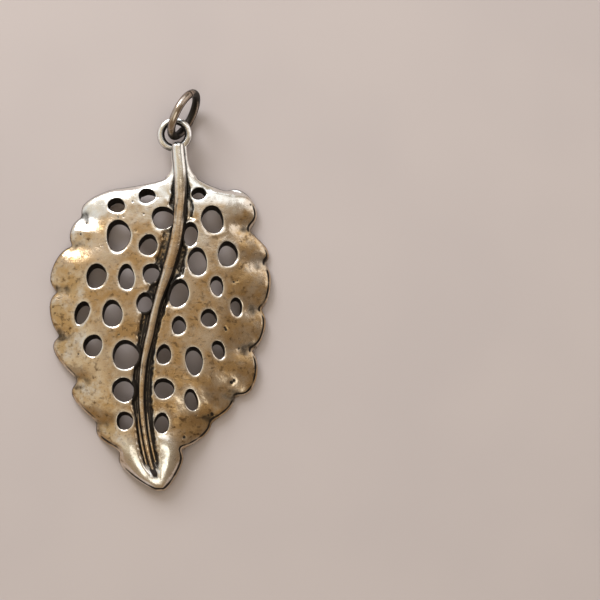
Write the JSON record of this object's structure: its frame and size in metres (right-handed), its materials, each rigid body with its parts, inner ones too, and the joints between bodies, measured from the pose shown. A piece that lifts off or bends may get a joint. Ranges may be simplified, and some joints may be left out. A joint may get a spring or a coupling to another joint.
{
  "type": "leaf pendant",
  "caption": "Domed leaf pendant with a pierced blade, scalloped rim, raised wire midrib, an eye at the top and an open jump ring.",
  "frame": {"origin": "middle of the part's footprint, on the surface that it lies on", "axes": "+Z out of the leaf's front, +Y from the tip of the leaf towards the jump ring, +X to the right seen from the front"},
  "size_m": [0.0352, 0.064, 0.0086],
  "materials": {
    "leaf_metal": "antique silver plate over cast alloy, burnished high spots, dark patina in the hollows",
    "stem_metal": "burnished antique silver wire",
    "eye_metal": "bright antique silver",
    "ring_metal": "grey-brown antique silver wire"
  },
  "bodies": {
    "leaf": {"leaf_blade": "leaf_metal", "midrib_stem": "stem_metal", "side_veins": "stem_metal", "hanging_eye": "eye_metal"},
    "ring": {"jump_ring": "ring_metal"}
  },
  "joints": [
    {"name": "ring_round_eye", "type": "hinge", "parent": "leaf", "child": "ring", "pos_m": [0.00226, 0.02516, 0.00266], "axis": [0, 0, 1], "range_deg": [-97, 153]}
  ]
}
